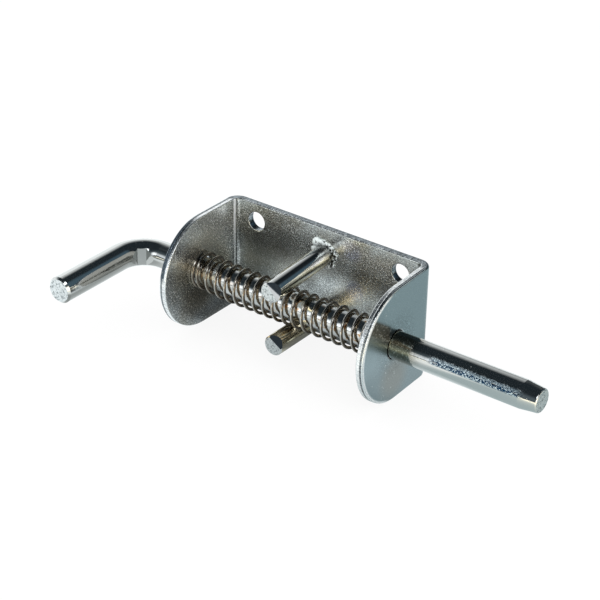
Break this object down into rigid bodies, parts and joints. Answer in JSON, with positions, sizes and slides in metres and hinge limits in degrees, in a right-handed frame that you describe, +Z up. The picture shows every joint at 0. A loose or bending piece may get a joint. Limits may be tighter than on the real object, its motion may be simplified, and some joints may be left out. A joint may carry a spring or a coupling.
{
  "type": "spring latch",
  "caption": "Spring-loaded bolt with a bent handle in a folded two-eared bracket, with two studs that hold it open.",
  "frame": {"origin": "middle of the back plate's rear face, level with the bolt's axis", "axes": "+X along the bolt to its tip, +Y into the surface that the latch is fixed to, +Z up"},
  "size_m": [0.2107, 0.0795, 0.0516],
  "materials": {
    "bracket_zinc": "satin zinc plate",
    "bar_zinc": "bright zinc plate",
    "weld_metal": "bright zinc plate over weld",
    "spring_steel": "bright spring wire",
    "washer_zinc": "zinc plate",
    "pin_steel": "plain spring steel"
  },
  "bodies": {
    "bracket": {"bracket": "bracket_zinc", "upper_stud": "bar_zinc", "lower_stud": "bar_zinc", "upper_weld": "weld_metal", "lower_weld": "weld_metal", "spring": "spring_steel"},
    "washer": {"retaining_washer": "washer_zinc"},
    "bolt": {"bolt": "bar_zinc", "cross_pin": "pin_steel"}
  },
  "joints": [
    {"name": "bolt_slide", "type": "slide", "parent": "bracket", "child": "washer", "axis": [-1, 0, 0], "range_m": [0, 0.056], "stiffness_N_per_m": 600, "springref_m": -0.019, "deforming": ["spring"]},
    {"name": "handle_turn", "type": "hinge", "parent": "washer", "child": "bolt", "pos_m": [0, -0.0272, 0], "axis": [1, 0, 0], "continuous": true}
  ]
}
